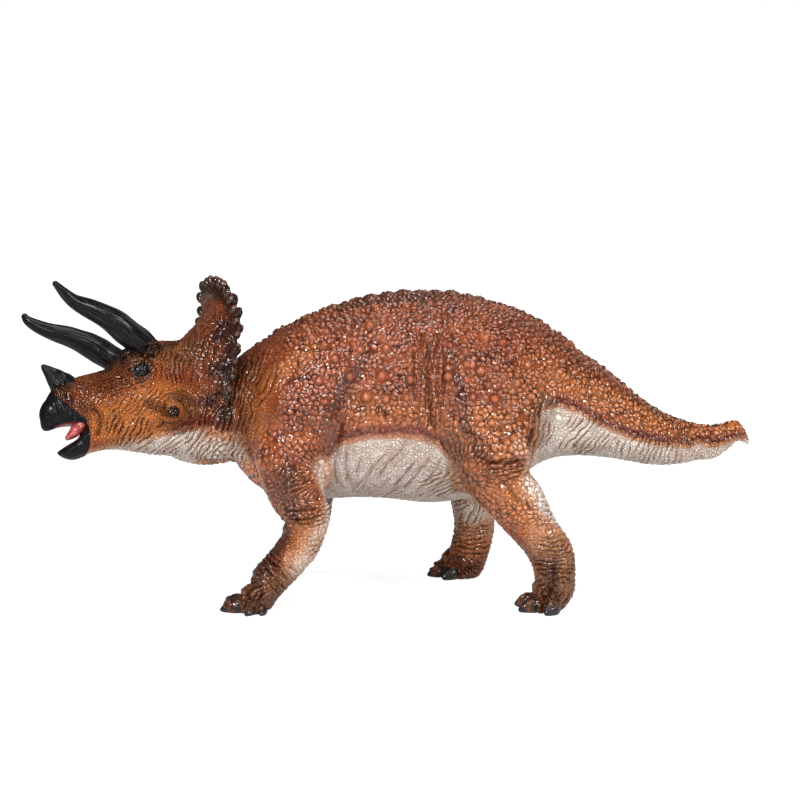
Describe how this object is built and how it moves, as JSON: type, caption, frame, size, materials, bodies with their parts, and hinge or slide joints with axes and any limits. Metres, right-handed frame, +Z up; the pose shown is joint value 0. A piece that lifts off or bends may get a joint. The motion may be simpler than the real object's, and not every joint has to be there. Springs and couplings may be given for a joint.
{
  "type": "toy dinosaur figure",
  "caption": "Standing horned dinosaur figure with a neck frill, brow horns, open beak and tapering tail, for play or display.",
  "frame": {"origin": "middle of the figure's bounding box, on the floor that its soles stand on", "axes": "+X from head to tail, +Z up; the animal's left side is towards -Y"},
  "size_m": [0.1846, 0.0536, 0.081],
  "materials": {
    "painted_skin": "soft vinyl with hand-painted rust, brown and cream skin under a satin varnish",
    "dark_gloss": "soft vinyl painted near black, semi-gloss",
    "mouth_paint": "soft vinyl painted red-pink, semi-gloss"
  },
  "bodies": {
    "root": {"body_shell_left": "painted_skin", "body_shell_right": "painted_skin", "tail": "painted_skin", "head": "painted_skin", "lower_jaw": "painted_skin", "front_leg_left": "painted_skin", "front_leg_right": "painted_skin", "hind_leg_left": "painted_skin", "hind_leg_right": "painted_skin", "brow_horn_left": "dark_gloss", "brow_horn_right": "dark_gloss", "nose_horn": "dark_gloss", "tongue": "mouth_paint"}
  },
  "joints": []
}
